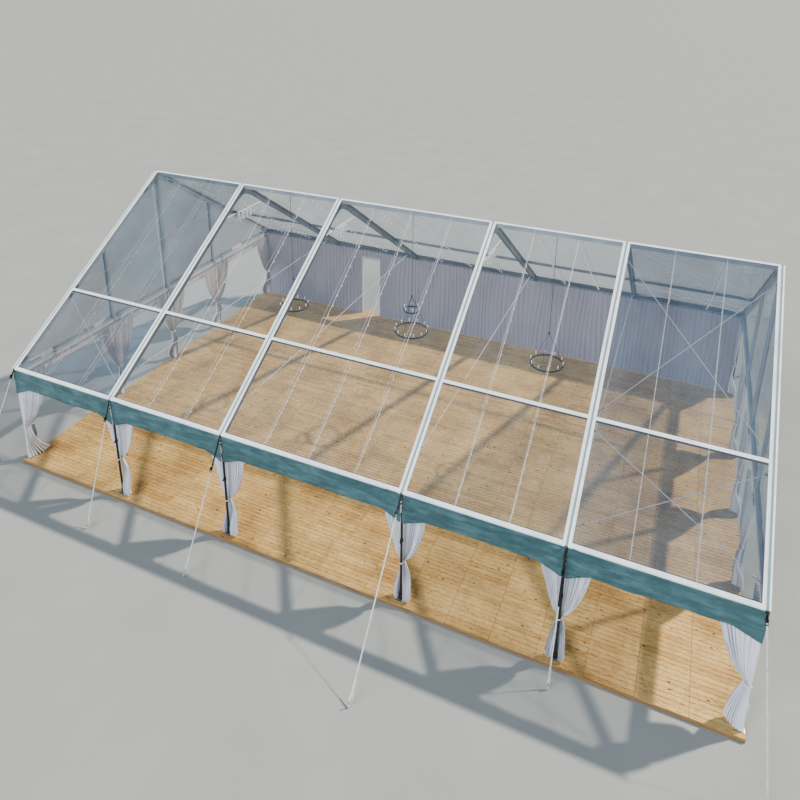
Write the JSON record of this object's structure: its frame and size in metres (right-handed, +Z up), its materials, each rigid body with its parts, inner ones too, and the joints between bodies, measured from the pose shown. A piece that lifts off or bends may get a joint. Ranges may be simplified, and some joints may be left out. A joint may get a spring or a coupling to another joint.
{
  "type": "marquee tent",
  "caption": "Gabled frame marquee with a clear roof, tied-back sheer curtains, a closed rear drape, a plank deck and strap guys down to ground stakes.",
  "frame": {"origin": "middle of the underside of the deck, on the ground", "axes": "+X along the length to the right seen from the open front, +Y from the open front to the closed rear, +Z up"},
  "size_m": [23.7686, 21.27, 8.7399],
  "materials": {
    "deck_timber": "oiled pine boards",
    "frame_aluminium": "dark powder-coated extrusion",
    "clear_vinyl": "clear glossy vinyl sheet with white hems",
    "valance_vinyl": "coated vinyl fabric",
    "steel_cable": "galvanised wire rope",
    "guy_strap": "woven webbing",
    "curtain_fabric": "sheer voile"
  },
  "bodies": {
    "root": {"plank_deck": "deck_timber", "front_column_1": "frame_aluminium", "front_column_2": "frame_aluminium", "front_column_3": "frame_aluminium", "front_column_4": "frame_aluminium", "front_column_5": "frame_aluminium", "front_column_6": "frame_aluminium", "rear_column_1": "frame_aluminium", "rear_column_2": "frame_aluminium", "rear_column_3": "frame_aluminium", "rear_column_4": "frame_aluminium", "rear_column_5": "frame_aluminium", "rear_column_6": "frame_aluminium", "rafter_pair_1": "frame_aluminium", "rafter_pair_2": "frame_aluminium", "rafter_pair_3": "frame_aluminium", "rafter_pair_4": "frame_aluminium", "rafter_pair_5": "frame_aluminium", "rafter_pair_6": "frame_aluminium", "ridge_beam": "frame_aluminium", "front_purlin": "frame_aluminium", "rear_purlin": "frame_aluminium", "front_eave_beam": "frame_aluminium", "rear_eave_beam": "frame_aluminium", "left_gable_frame": "frame_aluminium", "right_gable_frame": "frame_aluminium", "front_roof_skin": "clear_vinyl", "rear_roof_skin": "clear_vinyl", "left_gable_panel": "clear_vinyl", "right_gable_panel": "clear_vinyl", "front_valance": "valance_vinyl", "rear_valance": "valance_vinyl", "left_valance": "valance_vinyl", "right_valance": "valance_vinyl", "left_front_roof_bracing": "steel_cable", "left_rear_roof_bracing": "steel_cable", "right_front_roof_bracing": "steel_cable", "right_rear_roof_bracing": "steel_cable", "tie_cable_1": "steel_cable", "tie_cable_2": "steel_cable", "tie_cable_3": "steel_cable", "tie_cable_4": "steel_cable", "front_guy_1": "guy_strap", "front_guy_2": "guy_strap", "front_guy_3": "guy_strap", "front_guy_4": "guy_strap", "front_guy_5": "guy_strap", "front_guy_6": "guy_strap", "rear_guy_1": "guy_strap", "rear_guy_2": "guy_strap", "rear_guy_3": "guy_strap", "rear_guy_4": "guy_strap", "rear_guy_5": "guy_strap", "rear_guy_6": "guy_strap", "front_curtains": "curtain_fabric", "left_gable_curtains": "curtain_fabric", "right_gable_curtains": "curtain_fabric", "rear_drape": "curtain_fabric"}
  },
  "joints": []
}
